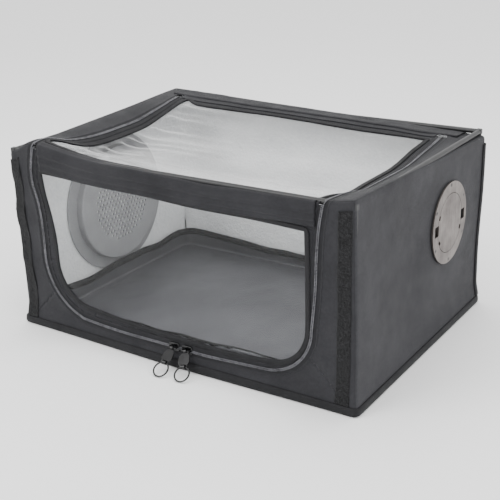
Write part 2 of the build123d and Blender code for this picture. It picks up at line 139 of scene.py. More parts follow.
def rounded(points, height):
    """A point on the sharp outer box, taken over the rounded edges, height above the cloth."""
    p = np.asarray(points, float) - CENTRE
    core = np.clip(p, -(HALF - EDGE), HALF - EDGE)
    out = p - core
    size = (np.abs(out) ** EDGE_POWER).sum(1) ** (1 / EDGE_POWER)
    out = out / np.maximum(size, 1e-9)[:, None]
    length = np.linalg.norm(out, axis=1)[:, None]
    unit = out / np.maximum(length, 1e-9)
    return CENTRE + core + out * EDGE + unit * np.asarray(height).reshape(-1, 1)


def top_hang(x, y):
    """How far the top hangs: least along the rods, and the front fold hangs more on the right."""
    side = step(x - LEFT, 0.006, 0.106) * step(RIGHT - x, -0.004, 0.068)
    rear = step(REAR - y, 0.025, 0.195)
    held = 0.10 + 0.26 * step(x, -0.08, 0.10)
    return HANG * side * rear * (held + (1 - held) * step(y - FRONT, 0.010, 0.130))


def corner_twist(x, y):
    """The frame is a little twisted: the front left and rear right corners are low."""
    u, v = (x - LEFT) / (RIGHT - LEFT), (y - FRONT) / (REAR - FRONT)
    front = -6 * (1 - u) + 4 * u
    rear = 11 * (1 - u) - 12 * u
    return MM * (front * (1 - v) + rear * v)


def soften(points):
    """The hang, twist and creases of the cloth, as one field that every soft piece follows."""
    q = np.array(points, float)
    x, y, z = q.T
    p = q.copy()
    up = step(z, TOP - 0.085, TOP - 0.006)
    p[:, 2] -= up * top_hang(x, y)
    p[:, 2] += (up * BULGE * bump(x, -0.250, 0.085) * bump(y, FRONT + 0.018, 0.055)
                * step(x - LEFT, 0.004, 0.04))
    high = step(z, 0.10, TOP)
    p[:, 2] += high * corner_twist(x, y)
    p[:, 0] += high * 4 * MM * step(x, 0.2, RIGHT) * (step(y, 0.05, REAR) - 0.7 * step(-y, 0.05, REAR))
    low = 1 - step(z, 0.004, 0.040)
    p[:, 0] += HEM_FLARE * low * np.sign(x) * step(np.abs(x), RIGHT - 0.03, RIGHT)
    p[:, 1] += HEM_FLARE * low * np.sign(y) * step(np.abs(y), REAR - 0.03, REAR)
    p[:, 1] -= (FRONT_FLARE * (1 - step(z, 0.002, 0.022)) * step(-y, -FRONT - 0.02, -FRONT)
                * bump(x, 0.02, 0.2))
    body = step(z, 0.010, 0.060) * step(TOP - z, 0.004, 0.050)
    for sign, port, radius in ((1, PORT_YZ, PORT_RADIUS), (-1, FILTER_YZ, FILTER_RADIUS)):
        on_wall = step(sign * x, RIGHT - 0.030, RIGHT - 0.010)
        apart = np.hypot(y - port[0], z - port[1])
        free = step(apart, radius + 0.003, radius + 0.050) * body * step(REAR - np.abs(y), 0.0, 0.04)
        tall = noise(q * [0, 1.0, 0.28] + q[:, [2, 2, 2]] * [0, 0.35, 0], 0.065, 3 + sign)
        fine = noise(q * [0, 1.0, 0.45] + q[:, [2, 2, 2]] * [0, 0.6, 0], 0.023, 7 + sign)
        hollow = 5.0 * MM * bump(y, -0.07, 0.10) * bump(z, 0.13, 0.12)
        p[:, 0] += sign * on_wall * free * (2.4 * MM * tall + 0.7 * MM * fine - hollow)
    on_rear = step(y, REAR - 0.030, REAR - 0.010) * body * step(RIGHT - np.abs(x), 0.0, 0.05)
    wide, small = noise(q * [1, 0, 0.35], 0.085, 11), noise(q * [1, 0, 0.6], 0.03, 12)
    p[:, 1] += on_rear * (3.0 * MM * wide + MM * small)
    on_front = step(-y, -FRONT - 0.030, -FRONT - 0.010) * step(RIGHT - np.abs(x), 0.0, 0.03)
    on_front = on_front * body * step(z, 0.045, 0.10)
    p[:, 1] -= on_front * (1.6 * MM * noise(q * [1, 0, 0.4], 0.07, 15) + 0.5 * MM)
    on_top = step(z, TOP - 0.020, TOP - 0.004) * step(RIGHT - np.abs(x), 0.012, 0.03)
    p[:, 2] += on_top * step(REAR - y, 0.006, 0.02) * 0.9 * MM * noise(q * [1, 1, 0], 0.045, 31)
    # the hem and the edges are never quite straight
    p[:, 0] += 1.2 * MM * noise(q * [0, 1, 1], 0.11, 21) * step(z, 0.012, 0.10) * step(np.abs(x), 0.25, RIGHT)
    p[:, 2] += 1.0 * MM * noise(q * [1, 1, 0], 0.12, 22) * step(z, 0.1, TOP)
    return p


def on_box(points, height=0.0):
    return soften(rounded(points, np.broadcast_to(height, len(points))))


def unfolded(x, t, height=0.0):
    """The door's surface: t below 0 runs down the front, t above 0 runs back over the top."""
    x, t = np.asarray(x, float), np.asarray(t, float)
    sharp = np.stack([x, np.where(t > 0, FRONT + t, FRONT), np.where(t > 0, TOP, TOP + t)], 1)
    return on_box(sharp, height)


# ---------------------------------------------------------------- outlines
def spline(points, samples, closed=False):
    """A smooth curve through a few points."""
    p = np.array(points, float)
    count = len(p)
    curve = []
    spans = count if closed else count - 1
    for k in range(spans):
        a, b, c, d = (p[(k + i) % count] if closed else p[min(max(k + i, 0), count - 1)]
                      for i in (-1, 0, 1, 2))
        for u in np.linspace(0, 1, samples, endpoint=False):
            curve.append(0.5 * (2 * b + (c - a) * u + (2 * a - 5 * b + 4 * c - d) * u * u
                                + (3 * b - a - 3 * c + d) * u ** 3))
    if not closed:
        curve.append(p[-1])
    return np.array(curve)


def resampled(curve, spacing, closed=False):
    """The same curve with even spacing."""
    c = np.vstack([curve, curve[:1]]) if closed else np.asarray(curve)
    lengths = np.concatenate([[0], np.cumsum(np.linalg.norm(np.diff(c, axis=0), axis=1))])
    count = max(3, int(round(lengths[-1] / spacing)))
    at = np.linspace(0, lengths[-1], count + 1)
    if closed:
        at = at[:-1]
    return np.stack([np.interp(at, lengths, c[:, k]) for k in range(c.shape[1])], 1)


def offset(curve, distance, closed=False):
    """Moved sideways to the left of its direction."""
    if closed:
        along = np.roll(curve, -1, 0) - np.roll(curve, 1, 0)
    else:
        along = np.gradient(curve, axis=0)
    along /= np.maximum(np.linalg.norm(along, axis=1), 1e-12)[:, None]
    return curve + distance * np.stack([-along[:, 1], along[:, 0]], 1)


def corner(middle, radius, start, turn, count=14):
    """Points of an arc, in degrees."""
    angles = np.radians(np.linspace(start, start + turn, count))
    return [(middle[0] + radius * math.cos(a), middle[1] + radius * math.sin(a)) for a in angles]


BOTTOM_T = 0.0300 - TOP         # height of the sliders, on the unfolded door


def zip_line():
    """Zip centre line on the unfolded door: down the left, along the bottom, up the right."""
    left = [(-0.257, SEAM_T + 0.018), (-0.250, 0.330), (-0.247, 0.240), (-0.249, 0.160), (-0.252, 0.100),
            (-0.248, 0.040), (-0.246, 0.0), (-0.252, -0.028), (-0.253, -0.050), (-0.245, -0.080),
            (-0.242, -0.120), (-0.243, -0.165)]
    lower_left = corner((-0.150, -0.170), 0.093, 180, 78)
    bottom = [(-0.100, -0.2650), (-0.030, BOTTOM_T), (0.015, BOTTOM_T), (0.060, -0.2655), (0.110, -0.2630)]
    lower_right = corner((0.158, -0.182), 0.078, 272, 88)
    right = [(0.242, -0.130), (0.245, -0.080), (0.249, -0.035), (0.254, -0.008), (0.259, 0.012),
             (0.259, 0.038), (0.254, 0.080), (0.250, 0.130), (0.249, 0.200), (0.250, 0.280),
             (0.251, 0.340), (0.251, SEAM_T + 0.018)]
    whole = spline([*left, *lower_left, *bottom, *lower_right, *right], 6)
    return resampled(whole, 4 * MM)


ZIP = zip_line()


def window_outline_front():
    """Edge of the clear film in the front, anticlockwise seen from the front."""
    left = [(-0.234, -0.037), (-0.231, -0.060), (-0.223, -0.096), (-0.218, -0.130), (-0.217, -0.160)]
    lower_left = corner((-0.151, -0.173), 0.066, 180, 90)
    bottom = [(-0.082, -0.2455), (0.020, -0.2485), (0.100, -0.2495)]
    lower_right = corner((0.167, -0.184), 0.060, 270, 90)
    right = [(0.2275, -0.120), (0.227, -0.044)]
    top = [(0.133, -0.039), (0.028, -0.0365), (-0.078, -0.034), (-0.170, -0.035)]
    sides = spline([*left, *lower_left, *bottom, *lower_right, *right], 4)
    return resampled(np.vstack([sides, spline([right[-1], *top, left[0]], 4)[1:-1]]), 4 * MM, closed=True)


def window_outline_top():
    """Edge of the clear film in the top, anticlockwise seen from above."""
    front = [(-0.234, 0.024), (-0.212, 0.019), (-0.116, 0.016), (0.037, 0.013), (0.160, 0.008),
             (0.225, 0.008)]
    right = [(0.238, 0.016), (0.236, 0.060), (0.229, 0.120), (0.225, 0.215), (0.226, 0.300),
             (0.231, 0.350)]
    rear = [(0.222, 0.356), (0.120, 0.353), (-0.040, 0.357), (-0.182, 0.353), (-0.216, 0.360)]
    left = [(-0.229, 0.367), (-0.232, 0.350), (-0.230, 0.290), (-0.228, 0.200), (-0.232, 0.110),
            (-0.236, 0.050)]
    return resampled(spline([*front, *right, *rear, *left], 8, closed=True), 4 * MM, closed=True)


# ---------------------------------------------------------------- mesh building
def inside(points, outline):
    x, y = points[:, 0], points[:, 1]
    result = np.zeros(len(points), bool)
    a, b = np.asarray(outline), np.roll(outline, -1, 0)
    for (x0, y0), (x1, y1) in zip(a, b):
        if y0 == y1:
            continue
        crosses = ((y0 > y) != (y1 > y)) & (x < (x1 - x0) * (y - y0) / (y1 - y0) + x0)
        result ^= crosses
    return result


def fill(outline, holes=(), spacing=6 * MM):
    """Even triangles that fill an outline round its holes. Returns the flat points and the faces."""
    loops = [np.asarray(outline), *[np.asarray(h) for h in holes]]
    low, high = loops[0].min(0), loops[0].max(0)
    rows = np.arange(low[1] + spacing / 2, high[1], spacing * 0.87)
    grid = [(x + (spacing / 2 if k % 2 else 0), y) for k, y in enumerate(rows)
            for x in np.arange(low[0] + spacing / 2, high[0], spacing)]
    grid = np.array(grid)
    good = inside(grid, loops[0])
    for hole in loops[1:]:
        good &= ~inside(grid, hole)
    grid = grid[good]
    rim = np.vstack(loops)
    near = np.full(len(grid), np.inf)
    for part in np.array_split(rim, max(1, len(rim) // 200)):
        gap = np.linalg.norm(grid[:, None] - part[None], axis=2).min(1)
        near = np.minimum(near, gap)
    grid = grid[near > spacing * 0.45]
    points = np.vstack([rim, grid])
    edges, start = [], 0
    for loop in loops:
        count = len(loop)
        edges += [(start + k, start + (k + 1) % count) for k in range(count)]
        start += count
    result = delaunay_2d_cdt([Vector(p) for p in points], edges, [], 1, 1e-7)
    flat = np.array([tuple(v) for v in result[0]])
    faces = np.array([f for f in result[2] if len(f) == 3])
    middle = flat[faces].mean(1)
    keep = inside(middle, loops[0])
    for hole in loops[1:]:
        keep &= ~inside(middle, hole)
    faces = faces[keep]
    a, b, c = flat[faces[:, 0]], flat[faces[:, 1]], flat[faces[:, 2]]
    area = (b[:, 0] - a[:, 0]) * (c[:, 1] - a[:, 1]) - (b[:, 1] - a[:, 1]) * (c[:, 0] - a[:, 0])
    faces[area < 0] = faces[area < 0][:, ::-1]
    return flat, faces[np.abs(area) > 1e-12]


def mesh_object(name, points, faces, material, flat=None):
    mesh = bpy.data.meshes.new(name)
    mesh.from_pydata([tuple(p) for p in points], [], [tuple(int(i) for i in f) for f in faces])
    if flat is not None:
        layer = mesh.uv_layers.new(name="flat")
        index = np.zeros(len(mesh.loops), np.int32)
        mesh.loops.foreach_get("vertex_index", index)
        layer.data.foreach_set("uv", np.asarray(flat, float)[index].astype(np.float32).ravel())
    mesh.polygons.foreach_set("use_smooth", [True] * len(mesh.polygons))
    for one in (material if isinstance(material, (list, tuple)) else [material]):
        mesh.materials.append(one)
    mesh.update()
    obj = bpy.data.objects.new(name, mesh)
    bpy.context.scene.collection.objects.link(obj)
    return obj


def thicken(obj, thickness, inner_slot=False):
    """Gives a sheet its real thickness, away from the side that its normals point to."""
    solid = obj.modifiers.new("cloth thickness", "SOLIDIFY")
    solid.thickness = thickness
    solid.offset = -1.0
    solid.use_even_offset = False
    if inner_slot:
        solid.material_offset = 1
    return obj


def apply_modifiers(obj):
    graph = bpy.context.evaluated_depsgraph_get()
    mesh = bpy.data.meshes.new_from_object(obj.evaluated_get(graph))
    obj.modifiers.clear()
    obj.data = mesh
    return obj


def ribbon(name, rows, material, closed=False):
    """A band from several rows of points that run side by side."""
    rows = [np.asarray(r) for r in rows]
    count = len(rows[0])
    points = np.vstack(rows)
    faces = []
    last = count if closed else count - 1
    for r in range(len(rows) - 1):
        for k in range(last):
            a, b = r * count + k, r * count + (k + 1) % count
            faces.append((a, b, b + count, a + count))
    gaps = np.linalg.norm(np.diff(rows[0], axis=0), axis=1)
    along = np.concatenate([[0], np.cumsum(gaps)])
    across = [0.0]
    for r in range(1, len(rows)):
        across.append(across[-1] + np.linalg.norm(rows[r] - rows[r - 1], axis=1).mean())
    flat = np.vstack([np.stack([along, np.full(count, w)], 1) for w in across])
    return mesh_object(name, points, faces, material, flat)


def joined(name, objects):
    """Several meshes as one piece."""
    points, faces, start = [], [], 0
    material = objects[0].data.materials[0]
    for obj in objects:
        co = np.array([v.co for v in obj.data.vertices])
        points.append(co)
        faces += [tuple(start + i for i in p.vertices) for p in obj.data.polygons]
        start += len(co)
        bpy.data.objects.remove(obj)
    return mesh_object(name, np.vstack(points), faces, material)


# ---------------------------------------------------------------- materials
def srgb(*rgb):
    """Linear colour from the everyday 0 to 255 values."""
    linear = [((c / 255 + 0.055) / 1.055) ** 2.4 if c > 10 else c / 255 / 12.92 for c in rgb]
    return (*linear, 1.0)


class Nodes:
    """A short way to build a node material."""

    def __init__(self, name):
        self.material = bpy.data.materials.new(name)
        self.material.use_nodes = True
        self.tree = self.material.node_tree
        self.tree.nodes.clear()
        self.output = self.add("ShaderNodeOutputMaterial")
        self.shader = self.add("ShaderNodeBsdfPrincipled")
        self.link(self.shader.outputs["BSDF"], self.output.inputs["Surface"])
        self.coords = self.add("ShaderNodeTexCoord")

    def add(self, kind, **settings):
        node = self.tree.nodes.new(kind)
        for key, value in settings.items():
            if key in node.inputs:
                node.inputs[key].default_value = value
            else:
                setattr(node, key, value)
        return node

    def link(self, source, target):
        self.tree.links.new(source, target)

    def feed(self, socket, source):
        """Drives one input of the main shader."""
        self.link(source, self.shader.inputs[socket])

    def noise(self, scale, detail=4.0, rough=0.6, stretch=None):
        node = self.add("ShaderNodeTexNoise")
        node.inputs["Scale"].default_value = scale
        node.inputs["Detail"].default_value = detail
        node.inputs["Roughness"].default_value = rough
        self.link(self.mapped(stretch), node.inputs["Vector"])
        return node.outputs["Fac"]

    def mapped(self, stretch=None):
        source = self.coords.outputs["Object"]
        if stretch is None:
            return source
        node = self.add("ShaderNodeMapping")
        node.inputs["Scale"].default_value = stretch
        self.link(source, node.inputs["Vector"])
        return node.outputs["Vector"]

    def ramp(self, factor, low, high, start=0.3, end=0.7):
        node = self.add("ShaderNodeMapRange")
        node.inputs["From Min"].default_value = start
        node.inputs["From Max"].default_value = end
        node.inputs["To Min"].default_value = low
        node.inputs["To Max"].default_value = high
        self.link(factor, node.inputs["Value"])
        return node.outputs["Result"]

    def mix(self, factor, first, second):
        node = self.add("ShaderNodeMix", data_type="RGBA")
        node.inputs["A"].default_value = first
        node.inputs["B"].default_value = second
        self.link(factor, node.inputs["Factor"])
        return node.outputs["Result"]

    def math(self, operation, first, second):
        node = self.add("ShaderNodeMath", operation=operation)
        for socket, value in zip(node.inputs, (first, second)):
            if isinstance(value, (int, float)):
                socket.default_value = value
            else:
                self.link(value, socket)
        return node.outputs[0]

    def bump(self, height, strength, distance, before=None):
        node = self.add("ShaderNodeBump")
        node.inputs["Strength"].default_value = strength
        node.inputs["Distance"].default_value = distance
        self.link(height, node.inputs["Height"])
        if before is not None:
            self.link(before, node.inputs["Normal"])
        return node.outputs["Normal"]

    def weave(self, pitch):
        """Over-and-under threads on the flat coordinates."""
        uv = self.coords.outputs["UV"]
        split = self.add("ShaderNodeSeparateXYZ")
        self.link(uv, split.inputs[0])
        across = self.math("SINE", self.math("MULTIPLY", split.outputs[0], 2 * math.pi / pitch), 0.0)
        along = self.math("SINE", self.math("MULTIPLY", split.outputs[1], 2 * math.pi / pitch), 0.0)
        return self.math("MULTIPLY", across, along)

    def set(self, **values):
        for key, value in values.items():
            name = key.replace("_", " ")
            self.shader.inputs[name].default_value = value


def cloth_material(name, dark, light, roughness=0.66, pitch=1.1 * MM, sheen=0.02):
    n = Nodes(name)
    blotch = n.noise(9.0, 5.0, 0.62)
    fine = n.noise(260.0, 3.0, 0.6)
    tint = n.math("ADD", n.math("MULTIPLY", blotch, 0.65), n.math("MULTIPLY", fine, 0.35))
    n.feed("Base Color", n.mix(n.ramp(tint, 0.0, 1.0, 0.38, 0.62), srgb(*dark), srgb(*light)))
    n.feed("Roughness", n.ramp(n.noise(30.0, 4.0), roughness - 0.07, roughness + 0.07))
    woven = n.bump(n.weave(pitch), 0.35, 0.25 * MM)
    n.feed("Normal", n.bump(n.noise(70.0, 4.0, 0.6), 0.22, 1.2 * MM, woven))
    n.set(Sheen_Weight=sheen, Sheen_Roughness=0.5, Specular_IOR_Level=0.16)
    return n.material


def lining_material():
    n = Nodes("reflective lining")
    crinkle = n.add("ShaderNodeTexVoronoi", feature="F1")
    crinkle.inputs["Scale"].default_value = 190.0
    n.link(n.mapped(), crinkle.inputs["Vector"])
    soft = n.noise(95.0, 6.0, 0.65)
    fine = n.bump(crinkle.outputs["Distance"], 0.45, 2.0 * MM)
    n.feed("Normal", n.bump(soft, 0.5, 3.0 * MM, fine))
    grain = n.math("MULTIPLY", n.noise(160.0, 5.0, 0.7), 0.6)
    tone = n.math("ADD", grain, n.math("MULTIPLY", n.noise(14.0, 3.0), 0.4))
    n.feed("Base Color", n.mix(n.ramp(tone, 0, 1, 0.36, 0.62), srgb(236, 237, 239), srgb(253, 253, 253)))
    n.feed("Roughness", n.ramp(soft, 0.38, 0.56))
    n.set(Metallic=0.0, Specular_IOR_Level=0.6)
    return n.material


def tray_material():
    n = Nodes("floor tray cloth")
    blotch = n.noise(7.0, 5.0, 0.6)
    n.feed("Base Color", n.mix(n.ramp(blotch, 0, 1, 0.35, 0.65), srgb(68, 68, 72), srgb(86, 86, 90)))
    n.feed("Roughness", n.ramp(n.noise(24.0, 4.0), 0.34, 0.48))
    n.feed("Normal", n.bump(n.noise(40.0, 4.0), 0.2, 1.5 * MM))
    n.set(Specular_IOR_Level=0.4)
    return n.material


def tape_material(name, dark, light):
    """Woven binding and zip tape, with ribs along its length."""
    n = Nodes(name)
    split = n.add("ShaderNodeSeparateXYZ")
    n.link(n.coords.outputs["UV"], split.inputs[0])
    ribs = n.math("SINE", n.math("MULTIPLY", split.outputs[1], 2 * math.pi / (1.3 * MM)), 0.0)
    picks = n.math("SINE", n.math("MULTIPLY", split.outputs[0], 2 * math.pi / (0.9 * MM)), 0.0)
    relief = n.math("ADD", ribs, n.math("MULTIPLY", picks, 0.4))
    n.feed("Base Color", n.mix(n.ramp(n.noise(120.0, 4.0), 0, 1), srgb(*dark), srgb(*light)))
    n.feed("Roughness", n.ramp(n.noise(60.0), 0.55, 0.75))
    n.feed("Normal", n.bump(relief, 0.4, 0.25 * MM))
    n.set(Sheen_Weight=0.02, Specular_IOR_Level=0.18)
    return n.material


def pile_material():
    n = Nodes("loop pile")
    curls = n.add("ShaderNodeTexVoronoi", feature="F1")
    curls.inputs["Scale"].default_value = 900.0
    n.link(n.mapped(), curls.inputs["Vector"])
    speck = n.noise(520.0, 4.0, 0.75)
    n.feed("Base Color", n.mix(n.ramp(speck, 0, 1, 0.42, 0.68), srgb(9, 9, 10), srgb(46, 46, 48)))
    n.feed("Normal", n.bump(curls.outputs["Distance"], 1.0, 1.2 * MM))
    n.set(Roughness=0.9, Sheen_Weight=0.06, Sheen_Roughness=0.4, Specular_IOR_Level=0.2)
    return n.material


def film_material():
    """Clear vinyl: almost all see-through, with the gloss of its two faces."""
    n = Nodes("clear film")
    n.set(Roughness=0.05, IOR=1.5, Specular_IOR_Level=0.5)
    n.shader.inputs["Base Color"].default_value = (0.9, 0.9, 0.9, 1)
    n.feed("Normal", n.bump(n.noise(16.0, 3.0), 0.12, 4.0 * MM))
    clear = n.add("ShaderNodeBsdfTransparent")
    clear.inputs["Color"].default_value = (0.97, 0.975, 0.975, 1)
    facing = n.add("ShaderNodeLayerWeight", Blend=0.5).outputs["Facing"]
    share = n.math("ADD", n.math("MULTIPLY", n.math("POWER", facing, 5.0), 0.70), 0.012)
    blend = n.add("ShaderNodeMixShader")
    n.link(share, blend.inputs[0])
    n.link(clear.outputs[0], blend.inputs[1])
    n.link(n.shader.outputs[0], blend.inputs[2])
    n.link(blend.outputs[0], n.output.inputs["Surface"])
    return n.material


def metal_material():
    """Brushed plate, cloudy and a little brown."""
    n = Nodes("brushed port metal")
    brush = n.noise(420.0, 5.0, 0.7, stretch=(1.0, 1.0, 0.05))
    cloud = n.noise(26.0, 5.0, 0.6)
    tint = n.mix(n.ramp(cloud, 0, 1, 0.35, 0.66), srgb(88, 81, 78), srgb(122, 116, 112))
    n.feed("Base Color", tint)
    n.feed("Roughness", n.ramp(brush, 0.30, 0.52))
    n.feed("Normal", n.bump(brush, 0.25, 0.3 * MM))
    n.set(Metallic=0.85)
    return n.material


def plain_material(name, dark, light, roughness, metallic=0.0, grain=420.0, depth=0.15, level=0.5):
    """Moulded or coated hard stuff with a fine grain."""
    n = Nodes(name)
    n.feed("Base Color", n.mix(n.ramp(n.noise(34.0, 5.0), 0, 1), srgb(*dark), srgb(*light)))
    n.feed("Roughness", n.ramp(n.noise(80.0, 4.0), roughness - 0.04, roughness + 0.05))
    n.feed("Normal", n.bump(n.noise(grain, 3.0), depth, 0.3 * MM))
    n.set(Metallic=metallic, Specular_IOR_Level=level)
    return n.material


CLOTH = cloth_material("shell cloth", (40, 40, 43), (52, 52, 55))
DOOR_CLOTH = cloth_material("door cloth", (27, 27, 30), (39, 39, 42), 0.58)
BORDER_CLOTH = cloth_material("border cloth", (30, 30, 33), (42, 42, 45), 0.6)
INSIDE = lining_material()
TRAY_CLOTH = tray_material()
TAPE = tape_material("binding tape", (20, 20, 22), (31, 31, 33))
ZIP_TAPE = tape_material("zip tape", (22, 22, 24), (33, 33, 36))
PILE = pile_material()
FILM = film_material()
PORT = metal_material()
COIL = plain_material("zip coil", (66, 66, 70), (116, 116, 121), 0.28, level=0.6)
GLOSS = plain_material("black plated zinc", (8, 8, 9), (16, 16, 18), 0.16, 0.4, 60.0, 0.06, 0.7)
ROD = plain_material("black rod coat", (22, 22, 23), (34, 34, 35), 0.42)
MOULDED = plain_material("black moulding", (24, 24, 25), (36, 36, 38), 0.5)
GREY = plain_material("grey moulding", (142, 142, 144), (158, 158, 160), 0.46, depth=0.1)
DARK = plain_material("dark moulding", (40, 40, 42), (56, 56, 58), 0.5)
FLEECE = plain_material("white fleece", (225, 225, 224), (244, 244, 243), 0.9, grain=700.0, depth=0.6)
STEEL = plain_material("screw steel", (44, 42, 41), (86, 82, 80), 0.36, 0.9)
THREAD = plain_material("sewing thread", (22, 22, 24), (44, 44, 46), 0.6, level=0.2)

SLOT_MATERIALS = {
    "rod_steel": ROD, "corner_plastic": MOULDED, "slider_metal": GLOSS, "port_metal": PORT,
    "screw_steel": STEEL, "gasket_rubber": MOULDED, "filter_fleece": FLEECE, "grey_plastic": GREY,
    "dark_plastic": DARK, "shell_cloth": CLOTH, "binding_tape": TAPE, "loop_pile": PILE,
    "reflective_lining": INSIDE, "tray_cloth": TRAY_CLOTH, "clear_film": FILM, "zip_coil": COIL,
}


def paint_cad():
    """Every CAD node that stays gets a node material in place of its plain one."""
    for part in frame["record"]["subparts"]:
        mesh = frame["nodes"][part["node"]].data
        mesh.materials.clear()
        mesh.materials.append(SLOT_MATERIALS[part["material_slot"]])


paint_cad()


def piece(obj, body, slot, *nodes):
    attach(obj, body)
    if nodes:
        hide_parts(*nodes)
    return obj


# ---------------------------------------------------------------- shell walls
def rectangle(x0, x1, y0, y1, spacing=6 * MM):
    corners = np.array([(x0, y0), (x1, y0), (x1, y1), (x0, y1)])
    return resampled(corners, spacing, closed=True)


def circle(middle, radius, count=96):
    return np.array(corner(middle, radius, 0, 360 - 360 / count, count))


PORT_HOLE = PORT_RADIUS - 1.8 * MM
FILTER_HOLE = 0.0745


def wall_sheet(side, outline, holes, place, spacing):
    """Lined cloth over one wall. Returns it with the area of its cut."""
    flat, faces = fill(outline, holes, spacing)
    obj = mesh_object(f"{side}_wall_cloth", on_box(place(flat)), faces, [CLOTH, INSIDE], flat)
    piece(thicken(obj, SKIN, inner_slot=True), "root", "shell_cloth", f"{side}_wall")
    return obj, flat_area(flat, faces)


def make_walls():
    """Right, left and rear walls and the base."""
    for side, sign, x, port, hole in (("right", 1, RIGHT, PORT_YZ, PORT_HOLE),
                                      ("left", -1, LEFT, FILTER_YZ, FILTER_HOLE)):
        low, high = sorted((sign * FRONT, sign * REAR))
        place = lambda f: np.stack([np.full(len(f), x), sign * f[:, 0], f[:, 1]], 1)
        sheet, area = wall_sheet(side, rectangle(low, high, 0.0, TOP, 4 * MM),
                                 [circle((sign * port[0], port[1]), hole)], place, 4.5 * MM)
    rear, _ = wall_sheet("rear", rectangle(-RIGHT, -LEFT, 0.0, TOP), [],
                         lambda f: np.stack([-f[:, 0], np.full(len(f), REAR), f[:, 1]], 1), 6 * MM)
    flat, faces = fill(rectangle(LEFT, RIGHT, FRONT, REAR), [], 12 * MM)
    sharp = np.stack([flat[:, 0], -flat[:, 1], np.zeros(len(flat))], 1)
    base = mesh_object("base_cloth", on_box(sharp), faces, [CLOTH, INSIDE], flat)
    piece(thicken(base, SKIN, inner_slot=True), "root", "shell_cloth", "floor_panel")


TAPE_HALF = 10.0 * MM      # from the zip's centre line to the outer edge of its tape
CLOTH_CUT = 7.0 * MM       # from the zip's centre line to the folded edge of the cloth beside it


def puffed(x, t, height=0.0):
    """The door surface, with the cloth beside the zip rolled up a little towards its folded edge."""
    points = np.stack([x, t], 1)
    gap = distance_to(points, ZIP) - CLOTH_CUT
    roll = 1.6 * MM * np.exp(-np.clip(gap, 0, 1) / (6 * MM))
    return unfolded(x, t, height + roll)


def distance_to(points, line):
    nearest = np.full(len(points), np.inf)
    for part in np.array_split(line, max(1, len(line) // 100)):
        gap = np.linalg.norm(points[:, None] - part[None], axis=2).min(1)
        nearest = np.minimum(nearest, gap)
    return nearest


def flat_area(flat, faces):
    a, b, c = (flat[faces[:, k]] for k in range(3))
    return float(np.abs((b[:, 0] - a[:, 0]) * (c[:, 1] - a[:, 1])
                        - (b[:, 1] - a[:, 1]) * (c[:, 0] - a[:, 0])).sum() / 2)


def sewn_strips(name, flat, faces, edges, surface, material, body, node):
    """A frame-shaped panel, sewn from one strip for each of its edges and mitred at the corners.

    edges gives, for each strip, how far a point is from that edge. Every strip states the size and
    area of its own cut, except those under NARROWEST_SHEET, which nothing measures as cloth."""
    middle = flat[faces].mean(1)
    nearest = np.argmin(np.stack([far(middle[:, 0], middle[:, 1]) for far in edges.values()]), axis=0)
    nodes = [node]
    for k, side in enumerate(edges):
        own = faces[nearest == k]
        used, index = np.unique(own, return_inverse=True)
        cut, own = flat[used], index.reshape(own.shape)
        strip = mesh_object(f"{name}_{side}", surface(cut[:, 0], cut[:, 1]), own, material, cut)
        thicken(strip, SKIN, inner_slot=material[0] is not material[1])
        piece(strip, body, "shell_cloth", *nodes)
        nodes = []


def make_borders():
    """Front and top panels of the shell, cut out round the zip."""
    cloths = [BORDER_CLOTH, INSIDE]
    cut = offset(ZIP, -CLOTH_CUT)
    door = cut[cut[:, 1] < 0]
    outside = np.array([(door[0][0], 0.0), (LEFT, 0.0), (LEFT, -TOP), (RIGHT, -TOP), (RIGHT, 0.0),
                        (door[-1][0], 0.0)])
    outline = np.vstack([resampled(outside, 4 * MM), door[::-1]])
    flat, faces = fill(outline, [], 4 * MM)
    sides = {"left": lambda x, t: x - LEFT, "right": lambda x, t: RIGHT - x}
    sewn_strips("front_border", flat, faces, {**sides, "bottom": lambda x, t: t + TOP}, puffed,
                cloths, "root", "front_panel")
    left_run = cut[(cut[:, 1] > 0) & (cut[:, 0] < 0)]
    right_run = cut[(cut[:, 1] > 0) & (cut[:, 0] > 0)]
    depth = REAR - FRONT
    outside = np.array([(right_run[0][0], 0.0), (RIGHT, 0.0), (RIGHT, depth), (LEFT, depth), (LEFT, 0.0),
                        (left_run[-1][0], 0.0)])
    across = resampled(np.array([left_run[0], right_run[-1]]), 5 * MM)[1:-1]
    outline = np.vstack([left_run[::-1], across, right_run[::-1], resampled(outside, 4 * MM)])
    flat, faces = fill(outline, [], 4 * MM)
    sewn_strips("top_border", flat, faces, {**sides, "rear": lambda x, t: depth - t}, puffed,
                cloths, "root", "top_panel")


# ---------------------------------------------------------------- the door's cloth and film
FOLD_T = 0.0               # the front flap ends and the top flap begins here
SEAM_GAP = 4 * MM


def inner_line():
    return offset(ZIP, CLOTH_CUT)


def window_ripple(x, t):
    """Ripples of the film, strongest near the left edge and in the front left corner of the top."""
    near_left = np.exp(-np.clip(x + 0.232, 0, 1) / 0.055) * step(t, 0.03, 0.09) * step(0.37 - t, 0.0, 0.06)
    waves = np.sin(2 * np.pi * (t / 0.036 + 0.35 * np.sin(t * 31))) + 0.5 * np.sin(2 * np.pi * t / 0.021 + 1)
    q = np.stack([x, t, 0 * x], 1)
    slack = noise(q * [1, 0.8, 1], 0.09, 41) * 3.0 * MM * step(t, 0.0, 0.05)
    corner_pull = 2.5 * MM * np.sin((x - t) / 0.0065) * bump(x, -0.205, 0.05) * bump(t, 0.045, 0.05)
    return 3.4 * MM * near_left * waves + slack + corner_pull


